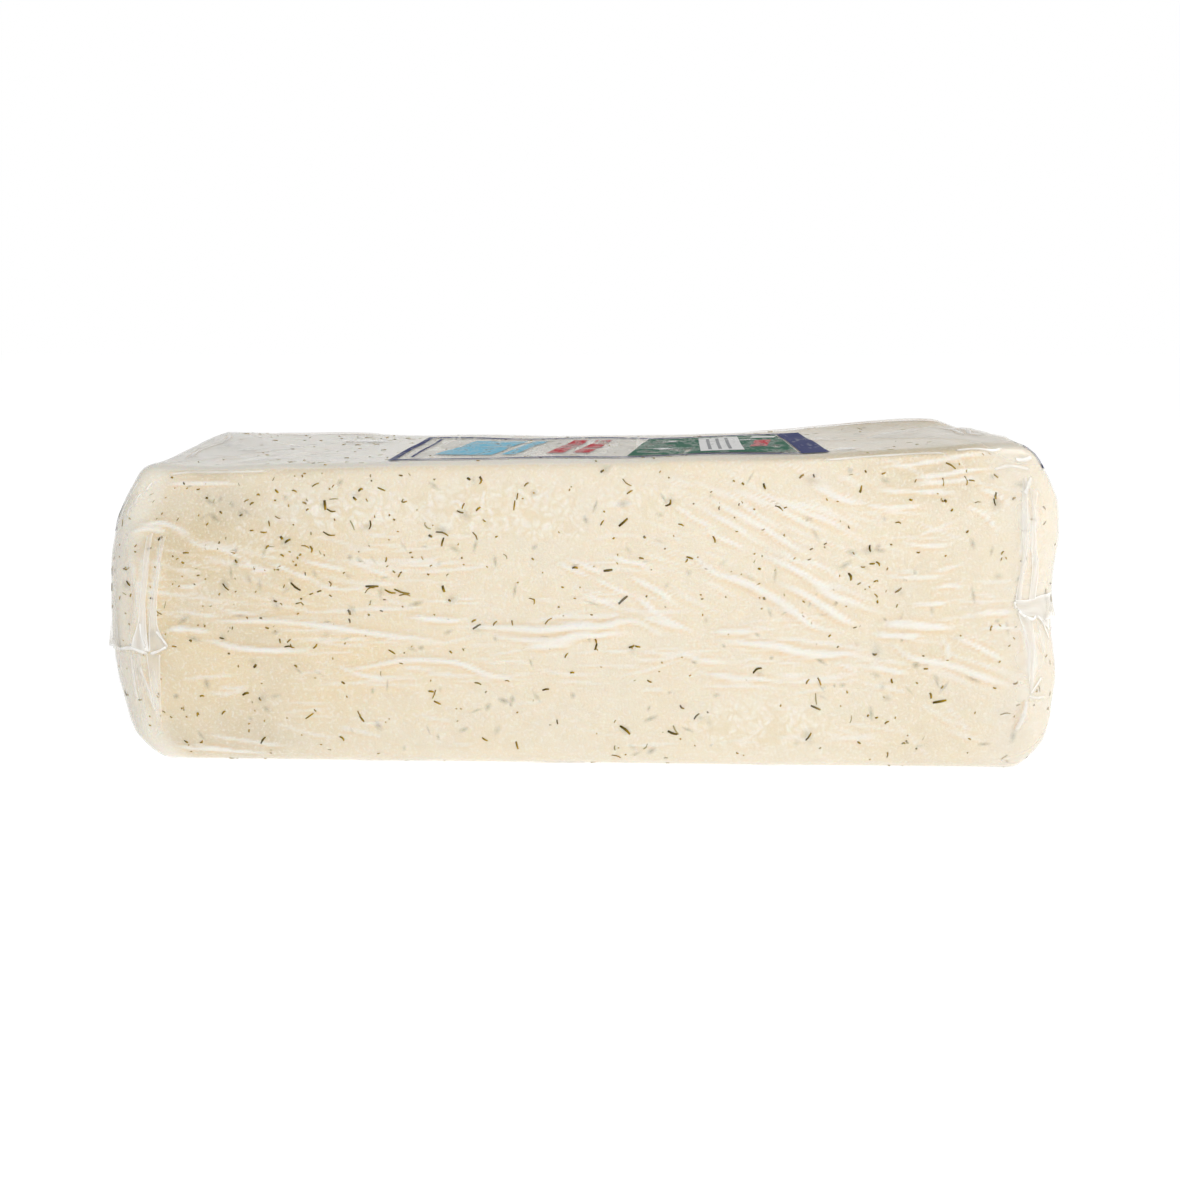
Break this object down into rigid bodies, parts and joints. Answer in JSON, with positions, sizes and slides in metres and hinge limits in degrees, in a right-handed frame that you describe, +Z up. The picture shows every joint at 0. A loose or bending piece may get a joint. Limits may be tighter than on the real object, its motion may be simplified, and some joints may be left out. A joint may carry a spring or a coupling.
{
  "type": "dill havarti cheese loaf",
  "caption": "Long block-shaped loaf of cream cheese with dill flecks, shrink-wrapped in clear film with flattened end seals and creases, resting on its long side.",
  "frame": {"origin": "middle of the face the loaf rests on", "axes": "+X along the loaf towards its taller end, -Y its creased front face, +Z up"},
  "size_m": [0.3302, 0.122, 0.1125],
  "materials": {
    "film_over_cheese": "cream cheese under clear glossy film"
  },
  "bodies": {
    "root": {"wrapped_loaf": "film_over_cheese"}
  },
  "joints": []
}
